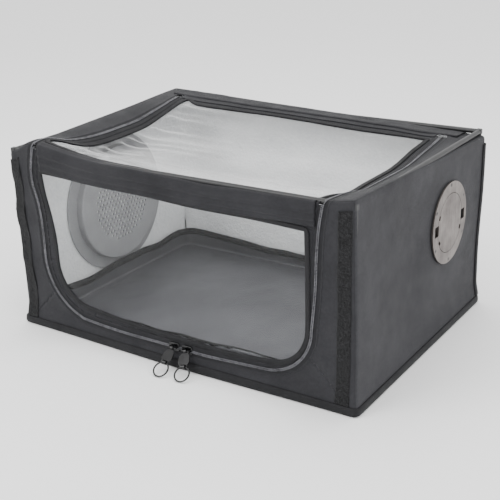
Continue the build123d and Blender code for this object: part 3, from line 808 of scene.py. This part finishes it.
def door_point(x, t, height=0.0):
    """Front and top flap, with the ridges of the folded cloth between the two windows."""
    ridges = sum(bump(t, middle, 3.2 * MM) * size for middle, size in
                 ((-0.033, 0.9), (-0.022, 1.3), (-0.011, 1.1), (0.0, 1.4), (0.010, 0.9)))
    wander = 0.75 + 0.35 * noise(np.stack([x, 4 * t, 0 * x], 1), 0.07, 51)
    roll = 1.4 * MM * np.exp(-np.clip(distance_to(np.stack([x, t], 1), ZIP) - CLOTH_CUT, 0, 1) / (5 * MM))
    return unfolded(x, t, height + 1.9 * MM * ridges * wander + roll)


def make_flaps():
    """Cloth frames round the two windows."""
    cloths = [DOOR_CLOTH, DOOR_CLOTH]
    edge = inner_line()
    low = edge[edge[:, 1] < FOLD_T]
    fold = resampled(np.array([(low[-1][0], FOLD_T), (low[0][0], FOLD_T)]), 4 * MM)
    flat, faces = fill(np.vstack([low, fold]), [window_outline_front()], 3.5 * MM)
    lowest = low[:, 1].min()
    sides = {"left": lambda x, t: x - low[:, 0].min(), "right": lambda x, t: low[:, 0].max() - x}
    sewn_strips("front_flap", flat, faces,
                {**sides, "bottom": lambda x, t: t - lowest,
                 "top": lambda x, t: np.where(t > -0.040, -1.0, 1.0),
                 "corner_left": lambda x, t: np.where((x < -0.150) & (t < -0.172), -1.0, 1.0),
                 "corner_right": lambda x, t: np.where((x > 0.160) & (t < -0.183), -1.0, 1.0)}, door_point,
                cloths, "front_flap", "front_flap")
    high = edge[(edge[:, 1] > FOLD_T) & (edge[:, 1] < SEAM_T - SEAM_GAP)]
    left, right = high[high[:, 0] < 0], high[high[:, 0] > 0]
    fold = resampled(np.array([(left[-1][0], FOLD_T), (right[0][0], FOLD_T)]), 4 * MM)
    seam = resampled(np.array([right[-1], left[0]]), 4 * MM)[1:-1]
    flat, faces = fill(np.vstack([fold, right, seam, left]), [window_outline_top()], 3.5 * MM)
    sides = {"left": lambda x, t: x - left[:, 0].min(), "right": lambda x, t: right[:, 0].max() - x}
    sewn_strips("top_flap", flat, faces,
                {**sides, "front": lambda x, t: t - FOLD_T, "rear": lambda x, t: SEAM_T - t}, door_point,
                cloths, "top_flap", "top_flap")


FILM_DEPTH = -1.6 * MM
FILM_MARGIN = 4.5 * MM     # how far the film runs on behind the cloth
TAPE_FROM, TAPE_TO = -6.5 * MM, 1.0 * MM   # the window tape's edges, beside the window outline
TAPE_LIFT = 1.3 * MM


def make_windows():
    """Clear film behind the cloth, a little wider than the opening."""
    for end, outline in (("front", window_outline_front()), ("top", window_outline_top())):
        outline = offset(outline, -FILM_MARGIN, closed=True)
        flat, faces = fill(outline, [], 5 * MM)
        x, t = flat[:, 0], flat[:, 1]
        inside_by = step(distance_to(flat, outline), 5 * MM, 18 * MM)
        if end == "top":
            shape = unfolded(x, t, FILM_DEPTH + inside_by * window_ripple(x, t))
        else:
            q = np.stack([x, t, 0 * x], 1)
            shape = unfolded(x, t, FILM_DEPTH + inside_by * 2.0 * MM * noise(q * [1, 0.7, 1], 0.10, 61))
        film = mesh_object(f"{end}_film", shape, faces, FILM, flat)
        piece(thicken(film, 0.4 * MM), f"{end}_flap", "clear_film", f"{end}_window")


def make_window_bindings():
    """Ribbed tape round each window, on the cloth's edge."""
    for end, outline in (("front", window_outline_front()), ("top", window_outline_top())):
        rows = []
        for share in np.linspace(0, 1, 5):
            line = offset(outline, TAPE_FROM + (TAPE_TO - TAPE_FROM) * share, closed=True)
            crown = 0.5 * MM * math.sin(math.pi * share)
            rows.append(door_point(line[:, 0], line[:, 1], np.full(len(line), TAPE_LIFT + crown)))
        tape = thicken(ribbon(f"{end}_window_tape", rows, TAPE, closed=True), 0.7 * MM)
        piece(tape, f"{end}_flap", "binding_tape")


HEADER_LOW, HEADER_HIGH = -0.0345, 0.0105


def make_header():
    """Doubled cloth over the fold between the two windows."""
    x = np.arange(-0.236, 0.2461, 3.5 * MM)
    rows = []
    for t in np.arange(HEADER_LOW, HEADER_HIGH, 1.6 * MM)[::-1]:
        tuck = 0.9 * MM * np.exp(-min(t - HEADER_LOW, HEADER_HIGH - t) / (2 * MM))
        rows.append(door_point(x, np.full(len(x), t) + 0.6 * MM * np.sin(x * 40), 1.5 * MM - tuck))
    header = ribbon("header_cloth", rows, [DOOR_CLOTH, DOOR_CLOTH])
    thicken(header, 0.9 * MM)
    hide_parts("header_band")
    apply_modifiers(header)
    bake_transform(header)


def make_seam_fold():
    """Soft fold that the top flap turns on, between it and the shell's rear band."""
    x = np.arange(-0.247, 0.2411, 4 * MM)
    rows = [door_point(x, np.full(len(x), t), 0.2 * MM)
            for t in np.linspace(SEAM_T + 0.010, SEAM_T - 0.012, 10)]
    fold = ribbon("rear_fold_cloth", rows, [DOOR_CLOTH, DOOR_CLOTH])
    thicken(fold, 1.0 * MM)
    apply_modifiers(fold)
    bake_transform(fold)


# ---------------------------------------------------------------- zip
COIL_GAP = 0.4 * MM        # from the zip's centre line to the coil and the tape
COIL_FAR = 2.0 * MM
COIL_PITCH = 2.0 * MM
FOLD_CLEAR = 0.6 * MM      # the door's zip stops this short of the fold between its flaps
ZIP_END = SEAM_T - 0.010


def zip_run(low, high, sign=0):
    """Zip centre line between two places on the unfolded door, on both sides or on the sign's side."""
    here = (ZIP[:, 1] >= low) & (ZIP[:, 1] <= high)
    return ZIP[here & (sign * ZIP[:, 0] > 0)] if sign else ZIP[here]


WHOLE_RUN = zip_run(-TOP, ZIP_END)
FRONT_RUN = zip_run(-TOP, -FOLD_CLEAR)
LEFT_RUN, RIGHT_RUN = zip_run(FOLD_CLEAR, ZIP_END, -1), zip_run(FOLD_CLEAR, ZIP_END, 1)


def zip_tape(name, line, side, body):
    """Half of the zip's tape: side is 1 towards the door and -1 towards the shell."""
    inner, outer = side * COIL_GAP, side * TAPE_HALF
    rows = []
    for share in np.linspace(0, 1, 7):
        edge = offset(line, inner + (outer - inner) * share)
        rows.append(unfolded(edge[:, 0], edge[:, 1], 0.9 * MM - 0.9 * MM * share ** 2))
    obj = ribbon(name, rows if side < 0 else rows[::-1], ZIP_TAPE)
    piece(thicken(obj, 0.8 * MM), body, "zip_coil")


def coil(line, near, far):
    """Loops of the coil along one side of the zip, each one a bent monofilament."""
    centre = resampled(line, COIL_PITCH)
    inner, outer = offset(centre, near), offset(centre, far)
    ahead = np.gradient(centre, axis=0)
    ahead /= np.linalg.norm(ahead, axis=1)[:, None]
    half_wire = 0.55 * MM
    points, faces = [], []
    path = ((0.0, 0.2), (0.55, 0.0), (1.0, 0.55), (0.55, 1.0), (0.0, 0.8))
    high = 2.3 * MM
    for lead in (-1, 1):
        for share, level in path:
            place = inner + (outer - inner) * (1 - share) + ahead * lead * half_wire
            points.append(unfolded(place[:, 0], place[:, 1], 0.7 * MM + high * level))
    points = np.stack(points, 1)
    rings = len(path)
    for k in range(len(centre)):
        start = k * 2 * rings
        for r in range(rings - 1):
            faces.append((start + r, start + r + 1, start + rings + r + 1, start + rings + r))
    return points.reshape(-1, 3), faces


def coil_object(name, runs, side, body, node):
    points, faces = [], []
    for line in runs:
        p, f = coil(line, side * COIL_GAP, side * COIL_FAR)
        start = sum(len(q) for q in points)
        points.append(p)
        faces += [tuple(start + i for i in face) for face in f]
    obj = mesh_object(name, np.vstack(points), faces, COIL)
    solid = obj.modifiers.new("wire", "SOLIDIFY")
    solid.thickness = 0.7 * MM
    solid.offset = 0
    piece(obj, body, "zip_coil", node)


def make_zip():
    """Tape and coil of the shell's half, the front flap's half and the top flap's two runs."""
    zip_tape("zip_tape_shell", WHOLE_RUN, -1, "root")
    coil_object("zip_coil_shell", [WHOLE_RUN], -1, "root", "zip_shell_side")
    zip_tape("zip_tape_front", FRONT_RUN, 1, "front_flap")
    coil_object("zip_coil_front", [FRONT_RUN], 1, "front_flap", "zip_front_flap_side")
    zip_tape("zip_tape_top_left", LEFT_RUN, 1, "top_flap")
    zip_tape("zip_tape_top_right", RIGHT_RUN, 1, "top_flap")
    coil_object("zip_coil_top", [LEFT_RUN, RIGHT_RUN], 1, "top_flap", "zip_top_flap_side")


def make_end_stops():
    """Small crimped metal stops over the coil's rear ends."""
    stops = []
    for k, at in enumerate((ZIP[ZIP[:, 1] < SEAM_T - 0.012][0], ZIP[ZIP[:, 1] < SEAM_T - 0.012][-1])):
        angles = np.linspace(0, 2 * np.pi, 13)[:-1]
        rows = []
        for along, size in ((-2.2, 0.7), (-1.6, 1.0), (1.6, 1.0), (2.2, 0.7)):
            x = at[0] + 3.6 * MM * size * np.cos(angles)
            t = np.full(12, at[1] + along * MM)
            rows.append(unfolded(x, t, 1.8 * MM + 1.7 * MM * size * np.sin(angles)))
        stops.append(ribbon(f"stop_{k}", rows, GLOSS, closed=True))
    piece(joined("zip_end_stop_clips", stops), "root", "slider_metal", "zip_end_stops")


# ---------------------------------------------------------------- bindings, strips and stitches
def loop_line(height, out=0.0):
    """Round the tent at one height, anticlockwise from above, with rounded corners."""
    x, y = RIGHT, REAR
    line = resampled(np.array([(LEFT, FRONT), (x, FRONT), (x, y), (LEFT, y)]), 5 * MM, closed=True)
    return on_box(np.column_stack([line, np.full(len(line), height)]), out)


def make_hem():
    """Folded tape round the bottom edge, thicker at its lower roll."""
    profile = ((0.0132, 0.9), (0.0125, 1.9), (0.0095, 2.2), (0.006, 2.4), (0.0030, 3.0), (0.0014, 2.6),
               (0.0012, 1.0))
    rows = [loop_line(z, out * MM) for z, out in profile]
    for row in rows:
        row[:, 2] = np.maximum(row[:, 2], 0.4 * MM)
    hem = ribbon("hem_tape", rows[::-1], TAPE, closed=True)
    piece(thicken(hem, 0.8 * MM), "root", "binding_tape", "hem_binding")


CORNER_PROFILE = ((-11, 0.3), (-10.5, 1.4), (-5, 1.6), (-1, 2.4), (1, 2.4), (5, 1.6), (10.5, 1.4), (11, 0.3))


def make_corner_bindings():
    """Tape folded over the two rear vertical edges."""
    pieces = []
    z = np.arange(0.014, TOP - 0.010, 4 * MM)
    for sign in (1, -1):
        rows = []
        for along, out in CORNER_PROFILE:
            x = np.full(len(z), sign * (RIGHT - max(along, 0) * MM))
            y = np.full(len(z), REAR + min(along, 0) * MM)
            rows.append(on_box(np.column_stack([x, y, z]), out * MM))
        pieces.append(ribbon(f"corner_{sign}", rows if sign > 0 else rows[::-1], TAPE))
    piece(thicken(joined("rear_corner_tapes", pieces), 0.6 * MM), "root", "binding_tape", "corner_bindings")


def make_rear_band():
    """Bound seam across the top behind the flap, with the zip's ends tucked under it."""
    x = np.arange(-0.272, 0.2721, 3 * MM)
    rows = []
    for share in np.linspace(0, 1, 12):
        t = SEAM_T + 0.034 - 0.034 * share + 1.2 * MM * np.sin(x * 23)
        fold = 1.0 * MM * bump(share, 0.93, 0.10) + 0.7 * MM * bump(share, 0.30, 0.12)
        puckers = 0.5 * MM * noise(np.column_stack([x, t * 3, 0 * x]), 0.016, 71)
        lift = 0.4 * MM if share in (0.0, 1.0) else 1.4 * MM
        rows.append(unfolded(x, t, lift + fold + puckers))
    obj = ribbon("rear_band_cloth", rows, [DOOR_CLOTH, DOOR_CLOTH])
    thicken(obj, 0.8 * MM)
    piece(obj, "root", "binding_tape", "rear_flap_binding")


def make_loop_strips():
    """Hook-and-loop strips down the front margins, the pile as real bumps."""
    for side, top_x, low_x, wrinkle in (("right", 0.2865, 0.2800, 0.3), ("left", -0.2880, -0.2830, 1.6)):
        across = np.arange(-10.0, 10.01, 1.0) * MM
        down = np.arange(-0.281, -0.0135, 1.1 * MM)
        u, v = np.meshgrid(across, down)
        share = (v - down[0]) / (down[-1] - down[0])
        x = u + low_x + (top_x - low_x) * share + wrinkle * MM * np.sin(v * 75)
        q = np.column_stack([u.ravel(), v.ravel(), 0 * u.ravel()])
        edge = step(10.2 * MM - np.abs(u), 0, 0.9 * MM).ravel()
        pile = (1.1 + 0.30 * noise(q, 1.3 * MM, 81) + 0.25 * noise(q, 2.6 * MM, 82)) * MM * edge
        fold = wrinkle * MM * noise(q, 0.02, 83)
        points = unfolded(x.ravel(), v.ravel(), pile + fold + 0.4 * MM)
        rows, columns = u.shape
        index = np.arange(rows * columns).reshape(rows, columns)
        faces = np.stack([index[:-1, :-1], index[:-1, 1:], index[1:, 1:], index[1:, :-1]], -1).reshape(-1, 4)
        strip = thicken(mesh_object(f"loop_strip_{side}_pile", points, faces, PILE, q[:, :2]), 0.5 * MM)
        # both strips are one CAD node, so only the first one made replaces it
        piece(strip, "root", "loop_pile", *(["loop_strips"] if side == "right" else []))


def stitches(name, lines, surface, height, body, length=2.8 * MM, gap=1.3 * MM, radius=0.28 * MM):
    """Short raised threads in rows."""
    points, faces = [], []
    for line in lines:
        line = resampled(np.asarray(line), (length + gap) / 4)
        shape = surface(line[:, 0], line[:, 1], np.full(len(line), height))
        out = surface(line[:, 0], line[:, 1], np.full(len(line), height + MM)) - shape
        for k in range(0, len(line) - 4, 4):
            run = shape[k:k + 4]
            normal = out[k + 1] / max(np.linalg.norm(out[k + 1]), 1e-9)
            along = run[3] - run[0]
            along = along / max(np.linalg.norm(along), 1e-9)
            side = np.cross(along, normal)
            start = len(points)
            for i, bulge in enumerate((-0.6, 0.5, 0.5, -0.6)):
                middle = run[i] + normal * radius * bulge
                for angle in (0, 90, 180, 270):
                    turn = math.radians(angle)
                    points.append(middle + radius * (side * math.cos(turn) + normal * math.sin(turn)))
            for ring in range(3):
                for corner_index in range(4):
                    a = start + ring * 4 + corner_index
                    b = start + ring * 4 + (corner_index + 1) % 4
                    faces.append((a, b, b + 4, a + 4))
            faces.append((start + 3, start + 2, start + 1, start))
            faces.append((start + 12, start + 13, start + 14, start + 15))
    obj = mesh_object(name, np.array(points), faces, THREAD)
    piece(obj, body, "binding_tape")


def closed_line(outline, distance):
    line = offset(outline, distance, closed=True)
    return np.vstack([line, line[:1]])


def make_stitches():
    """Rows of thread beside the zip, round the windows and along the rear band."""
    side = CLOTH_CUT + 2.2 * MM
    stitches("shell_stitches", [offset(WHOLE_RUN, -side)], puffed, 0.1 * MM, "root")
    for end, runs, outline in (("front", [FRONT_RUN], window_outline_front()),
                               ("top", [LEFT_RUN, RIGHT_RUN], window_outline_top())):
        lines = [offset(run, side) for run in runs]
        lines += [closed_line(outline, -1.2 * MM), closed_line(outline, -5.6 * MM)]
        stitches(f"{end}_flap_stitches", lines, door_point, 1.5 * MM, f"{end}_flap")
    x = np.arange(-0.27, 0.2701, 4 * MM)
    rear = [np.column_stack([x, np.full(len(x), SEAM_T + behind)]) for behind in (0.005, 0.030)]
    stitches("rear_band_stitches", rear, unfolded, 2.3 * MM, "root")


# ---------------------------------------------------------------- inside: lining and tray
LINING_X = RIGHT - 0.0106
LINING_Y = REAR - 0.0106
LINING_LOW, LINING_HIGH = 0.012, TOP - 0.008


def crinkled(points, normal, port=None, radius=0.0):
    """Fine creases of the stiff reflective sheet, still round a port."""
    free = np.ones(len(points))
    if port is not None:
        free = step(np.hypot(points[:, 1] - port[0], points[:, 2] - port[1]), radius, radius + 0.04)
    wave = (1.8 * MM * noise(points, 0.075, 91) + 0.9 * MM * noise(points, 0.028, 92)
            + 0.35 * MM * noise(points, 0.011, 93))
    return points + np.asarray(normal) * (free * wave)[:, None]


def turned_in(along, z, half, bend, depth, share=1.0):
    """How far a lining comes inward at its two upright edges and under the top rods."""
    deep = np.clip(np.abs(along) - (half - bend), 0, bend)
    inward = depth * (deep / bend) ** 2.2 * share * step(z, 0.040, 0.130)
    return inward + 0.004 * step(z, TOP - 0.05, LINING_HIGH)


def lining_sheet(side, flat, faces, points, half, **cut):
    """One lining: it follows most of the frame's twist."""
    points[:, 2] += step(points[:, 2], 0.10, TOP) * corner_twist(points[:, 0], points[:, 1]) * 0.9
    sheet = thicken(mesh_object(f"{side}_lining_sheet", points, faces, [INSIDE, INSIDE], flat), 0.6 * MM)
    piece(sheet, "root", "reflective_lining", f"{side}_lining")


def make_linings():
    """Silver sheets inside the walls, bent round the rear corners and over the top rods."""
    half = LINING_Y - 0.001
    for side, sign, port, still, hole in (("right", 1, PORT_YZ, PORT_RADIUS, PORT_HOLE),
                                          ("left", -1, FILTER_YZ, 0.118, FILTER_HOLE)):
        flat, faces = fill(rectangle(-half, half, LINING_LOW, LINING_HIGH, 5 * MM),
                           [circle((-sign * port[0], port[1]), hole)], 5 * MM)
        y, z = -sign * flat[:, 0], flat[:, 1]
        inward = turned_in(y, z, half, 0.045, 0.018, np.where(y > 0, 1.0, 0.25))
        points = crinkled(np.stack([sign * (LINING_X - inward), y, z], 1), (-sign * 1.0, 0, 0), port, still)
        lining_sheet(side, flat, faces, points, half, area=flat_area(flat, faces))
    half = LINING_X - 0.002
    flat, faces = fill(rectangle(-half, half, LINING_LOW, LINING_HIGH, 5 * MM), [], 5 * MM)
    x, z = flat[:, 0], flat[:, 1]
    inward = turned_in(x, z, half, 0.05, 0.020)
    points = crinkled(np.stack([x, LINING_Y - inward, z], 1), (0, -1.0, 0))
    lining_sheet("rear", flat, faces, points, half)


TRAY_X, TRAY_Y = 0.285, 0.196
TRAY_LOW, TRAY_HIGH = 2.6 * MM, 39.6 * MM
TRAY_ROUND = 0.014


def tray_ring(count=520):
    """The tray's rounded outline."""
    x, y, r = TRAY_X, TRAY_Y, TRAY_ROUND
    line = [*corner((x - r, y - r), r, 0, 90, 6), *corner((-x + r, y - r), r, 90, 90, 6),
            *corner((-x + r, -y + r), r, 180, 90, 6), *corner((x - r, -y + r), r, 270, 90, 6)]
    total = resampled(np.array(line), 2 * MM, closed=True)
    at = np.linspace(0, len(total), count, endpoint=False)
    known = np.arange(len(total) + 1)
    return np.stack([np.interp(at, known, np.append(total[:, k], total[0, k])) for k in (0, 1)], 1)


def tray_slump(ring, share):
    """Sides of the tray lean and wave, more towards the rim. Gives the shift inward and down."""
    q = np.column_stack([ring, np.full(len(ring), 0.0)])
    wave = 4.0 * MM * noise(q, 0.060, 101) + 1.6 * MM * noise(q, 0.020, 102)
    rear = step(ring[:, 1], 0.17, 0.19)
    left = step(-ring[:, 0], 0.26, 0.28)
    lean = (3.0 + 5.0 * rear + 3.0 * left) * MM + wave
    drop = (2.0 + 9.0 * rear * bump(ring[:, 0], 0.02, 0.17) + 2.5 * noise(q, 0.05, 103)) * MM
    return lean * share ** 1.5, drop * share


def tray_side(ring):
    """The tray's four sides, as one band from the floor to the rim."""
    rows = []
    size = np.linalg.norm(ring, axis=1)[:, None]
    for share in np.linspace(0, 1, 9):
        lean, drop = tray_slump(ring, share)
        z = TRAY_LOW + (TRAY_HIGH - TRAY_LOW) * share - drop
        out = ring * (1 - lean[:, None] / size)
        creases = 0.5 * MM * noise(np.column_stack([ring, z * 2.0]), 0.012, 104) * math.sin(math.pi * share)
        rows.append(np.column_stack([out * (1 - creases[:, None] / size), z]))
    return ribbon("tray_side", rows[::-1], TRAY_CLOTH, closed=True)


def tray_floor(ring):
    """The tray's base, with a few long creases and a slow swell."""
    flat, faces = fill(ring, [], 6 * MM)
    q = np.column_stack([flat, 0 * flat[:, 0]])
    inside_by = step(distance_to(flat, ring), 0.004, 0.03)
    diagonal = q @ np.array([[0.8, 0.6, 0], [-0.6, 0.8, 0], [0, 0, 1]])
    ridge = 1 - np.abs(noise(diagonal * [0.35, 1.0, 1], 0.085, 111))
    crossing = 1 - np.abs(noise(diagonal[:, [1, 0, 2]] * [0.5, 1.0, 1], 0.06, 112))
    crease = 1.5 * MM * ridge ** 6 + 0.9 * MM * crossing ** 8
    swell = 1.2 * MM * (noise(q, 0.12, 113) + 1)
    points = np.column_stack([flat, TRAY_LOW + inside_by * (crease + swell)])
    return mesh_object("tray_base", points, faces, TRAY_CLOTH)


RIM_PROFILE = ((12.0, -0.6), (11.0, 0.6), (6.0, 0.9), (1.0, 1.2), (0.0, 0.0), (0.6, -1.6), (6.0, -2.0),
               (12.0, -2.0))


def make_tray():
    """Removable tray that has slumped a little, and the tape folded over its rim."""
    ring = tray_ring()
    tray = joined("floor_tray_cloth", [tray_floor(ring), tray_side(ring)])
    weld = tray.modifiers.new("weld", "WELD")
    weld.merge_threshold = 0.2 * MM
    piece(thicken(tray, 0.8 * MM), "root", "tray_cloth", "floor_tray")
    lean, drop = tray_slump(ring, 1.0)
    size = np.linalg.norm(ring, axis=1)[:, None]
    puckers = 0.8 * MM * noise(np.column_stack([ring, 0 * ring[:, 0]]), 0.009, 105)
    rows = []
    for down, aside in RIM_PROFILE:
        at = ring * (1 - (lean[:, None] - (aside * MM + puckers[:, None] * (down < 11))) / size)
        rows.append(np.column_stack([at, TRAY_HIGH + 2 * MM - drop - down * MM]))
    rim = ribbon("tray_rim_tape", rows, TAPE, closed=True)
    piece(thicken(rim, 0.6 * MM), "root", "binding_tape", "tray_rim_binding")


make_walls()
make_borders()
make_flaps()
make_windows()
make_window_bindings()
make_header()
make_seam_fold()
make_zip()
make_end_stops()
make_hem()
make_corner_bindings()
make_rear_band()
make_loop_strips()
make_stitches()
make_linings()
make_tray()


def make_stage():
    """Pale floor and soft light from large panels."""
    bpy.ops.mesh.primitive_plane_add(size=8.0)
    floor = bpy.context.object
    floor.name = "studio_floor"
    n = Nodes("studio floor")
    n.feed("Base Color", n.mix(n.noise(1.5), (0.93, 0.93, 0.93, 1), (0.95, 0.95, 0.95, 1)))
    n.set(Roughness=0.7)
    floor.data.materials.append(n.material)
    floor.location.z = -0.4 * MM
    world = bpy.data.worlds.new("studio")
    bpy.context.scene.world = world
    world.use_nodes = True
    world.node_tree.nodes["Background"].inputs["Color"].default_value = (1, 1, 1, 1)
    world.node_tree.nodes["Background"].inputs["Strength"].default_value = 1.6
    for name, place, size, power, aim in (
            ("key", (-0.9, -1.6, 1.7), 1.2, 26, (0, 0, 0.15)),
            ("fill", (1.9, -0.9, 1.2), 1.4, 14, (0, 0, 0.15)),
            ("over", (0.0, 0.5, 2.2), 1.6, 22, (0, 0, 0.1))):
        data = bpy.data.lights.new(name, "AREA")
        data.size = size
        data.energy = power
        lamp = bpy.data.objects.new(name, data)
        bpy.context.scene.collection.objects.link(lamp)
        lamp.location = place
        lamp.rotation_euler = (Vector(aim) - Vector(place)).to_track_quat("-Z", "Y").to_euler()


make_stage()
